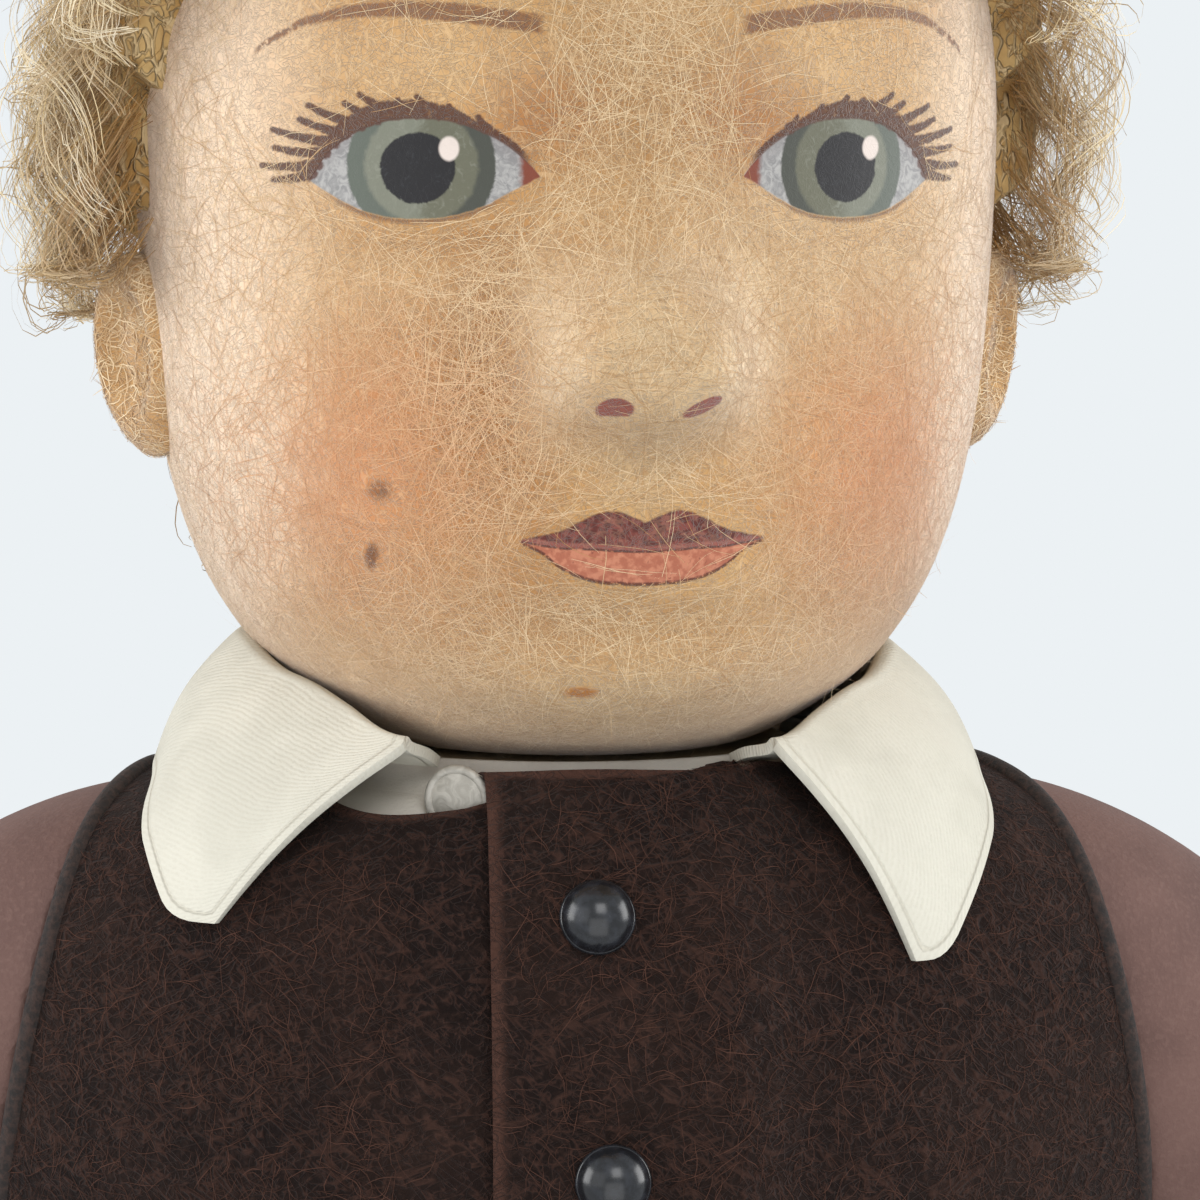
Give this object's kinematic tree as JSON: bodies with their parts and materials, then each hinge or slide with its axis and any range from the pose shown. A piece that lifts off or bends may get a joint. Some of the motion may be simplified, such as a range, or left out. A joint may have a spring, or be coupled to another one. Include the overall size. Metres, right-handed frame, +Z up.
{
  "type": "felt doll",
  "caption": "Standing pressed-felt boy doll with mohair wig, collared shirt, buttoned felt jacket, knee trousers and shoes; head, arms and legs turn on disc joints.",
  "frame": {"origin": "on the floor under the middle of the doll's bounding box, between the shoes", "axes": "+Z up along the standing doll; the doll faces -Y and its left arm is on +X"},
  "size_m": [0.185, 0.1028, 0.4471],
  "materials": {
    "skin_felt": "fuzzy wool felt, painted features",
    "mohair": "curly mohair",
    "body_cloth": "plain weave over wood wool",
    "wood_wool": "packed wood wool",
    "brown_felt": "fuzzy wool felt",
    "mauve_cloth": "smooth felt",
    "white_cotton": "cotton twill",
    "sock_knit": "ribbed knit",
    "hardboard": "pressed board",
    "steel": "bright wire",
    "black_button": "glossy",
    "shell_button": "pearly",
    "shoe_leather": "satin",
    "sole_leather": "matte"
  },
  "bodies": {
    "torso": {"body": "body_cloth", "neck_disc": "hardboard", "neck_pin": "steel", "shoulder_disc_left": "hardboard", "shoulder_disc_right": "hardboard", "shoulder_pin_left": "steel", "shoulder_pin_right": "steel", "hip_disc_left": "hardboard", "hip_disc_right": "hardboard", "hip_pin": "steel", "shirt_front": "white_cotton", "collar_stand": "white_cotton", "collar_fall": "white_cotton", "shirt_button": "shell_button", "jacket_right_front": "brown_felt", "jacket_left_front": "brown_felt", "jacket_back": "brown_felt", "armhole_trim_left": "brown_felt", "armhole_trim_right": "brown_felt", "jacket_button_1": "black_button", "jacket_button_2": "black_button", "jacket_button_3": "black_button", "jacket_button_4": "black_button", "trouser_seat": "brown_felt"},
    "head": {"face_mask": "skin_felt", "head_back": "skin_felt", "head_stuffing": "wood_wool", "head_disc": "hardboard", "wig": "mohair", "ear_left": "skin_felt", "ear_right": "skin_felt"},
    "arm_left": {"arm_stuffed_left": "skin_felt", "sleeve_left": "mauve_cloth", "arm_disc_left": "hardboard"},
    "arm_right": {"arm_stuffed_right": "skin_felt", "sleeve_right": "mauve_cloth", "arm_disc_right": "hardboard"},
    "leg_left": {"leg_stuffed_left": "skin_felt", "leg_disc_left": "hardboard", "trouser_leg_left": "brown_felt", "sock_left": "sock_knit", "shoe_upper_left": "shoe_leather", "shoe_sole_left": "sole_leather"},
    "leg_right": {"leg_stuffed_right": "skin_felt", "leg_disc_right": "hardboard", "trouser_leg_right": "brown_felt", "sock_right": "sock_knit", "shoe_upper_right": "shoe_leather", "shoe_sole_right": "sole_leather"}
  },
  "joints": [
    {"name": "neck_turn", "type": "hinge", "parent": "torso", "child": "head", "pos_m": [0, -0.00395, 0.338], "axis": [0, 0, 1], "range_deg": [-85, 85]},
    {"name": "shoulder_left", "type": "hinge", "parent": "torso", "child": "arm_left", "pos_m": [0.045, -0.00395, 0.3095], "axis": [-0.9448, -0.2532, -0.2079], "range_deg": [-55, 120]},
    {"name": "shoulder_right", "type": "hinge", "parent": "torso", "child": "arm_right", "pos_m": [-0.045, -0.00395, 0.3095], "axis": [-0.9448, 0.2532, 0.2079], "range_deg": [-55, 120]},
    {"name": "hip_left", "type": "hinge", "parent": "torso", "child": "leg_left", "pos_m": [0.01, -0.00395, 0.205], "axis": [-1, 0, 0], "range_deg": [-40, 95]},
    {"name": "hip_right", "type": "hinge", "parent": "torso", "child": "leg_right", "pos_m": [-0.01, -0.00395, 0.205], "axis": [-1, 0, 0], "range_deg": [-40, 95]}
  ]
}
